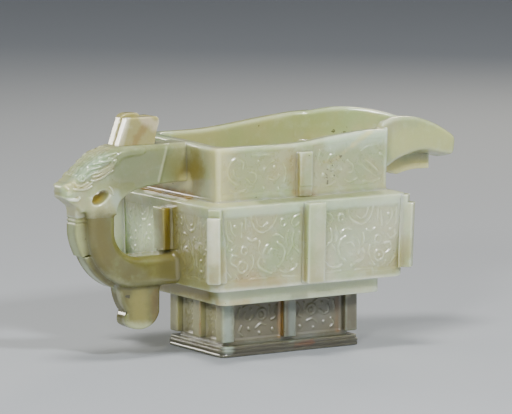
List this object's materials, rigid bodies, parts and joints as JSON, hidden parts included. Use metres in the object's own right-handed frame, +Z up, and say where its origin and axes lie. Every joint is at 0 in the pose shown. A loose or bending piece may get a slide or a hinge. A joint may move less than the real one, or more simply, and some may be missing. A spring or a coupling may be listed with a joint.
{
  "type": "jade pouring vessel",
  "caption": "Rectangular tiered jade pouring vessel in archaic style on a hollow foot, with an upturned spout, a beast-head loop handle and raised ribs.",
  "frame": {"origin": "on the resting plane, under the middle of the overall length and width", "axes": "+X along the length towards the spout, +Y across to the back side, +Z up from the resting plane"},
  "size_m": [0.1708, 0.0756, 0.0906],
  "materials": {
    "jade_pale": "polished pale celadon nephrite",
    "jade_grey": "polished grey-green nephrite of the foot",
    "jade_olive": "polished olive nephrite of the handle",
    "jade_white": "polished whitish nephrite of the horns"
  },
  "bodies": {
    "root": {"foot_plinth": "jade_grey", "foot_wall": "jade_grey", "foot_post_front_left": "jade_grey", "foot_post_front_right": "jade_grey", "foot_post_back_left": "jade_grey", "foot_post_back_right": "jade_grey", "foot_rib_left": "jade_grey", "foot_rib_right": "jade_grey", "foot_rib_front": "jade_grey", "foot_rib_back": "jade_grey", "waist_slab": "jade_pale", "belly": "jade_pale", "belly_rib_front_left": "jade_pale", "belly_rib_front_right": "jade_pale", "belly_rib_back_left": "jade_pale", "belly_rib_back_right": "jade_pale", "belly_rib_front": "jade_pale", "belly_rib_back": "jade_pale", "belly_rib_left": "jade_pale", "belly_rib_right": "jade_pale", "neck_tier": "jade_pale", "neck_rib_front": "jade_pale", "neck_rib_back": "jade_pale", "spout": "jade_pale", "spout_keel": "jade_pale", "handle_neck": "jade_pale", "beast_head": "jade_pale", "horn_front": "jade_white", "horn_back": "jade_white", "handle_loop": "jade_olive", "crest_upper": "jade_olive", "crest_lower": "jade_olive", "tail_pendant": "jade_olive"}
  },
  "joints": []
}
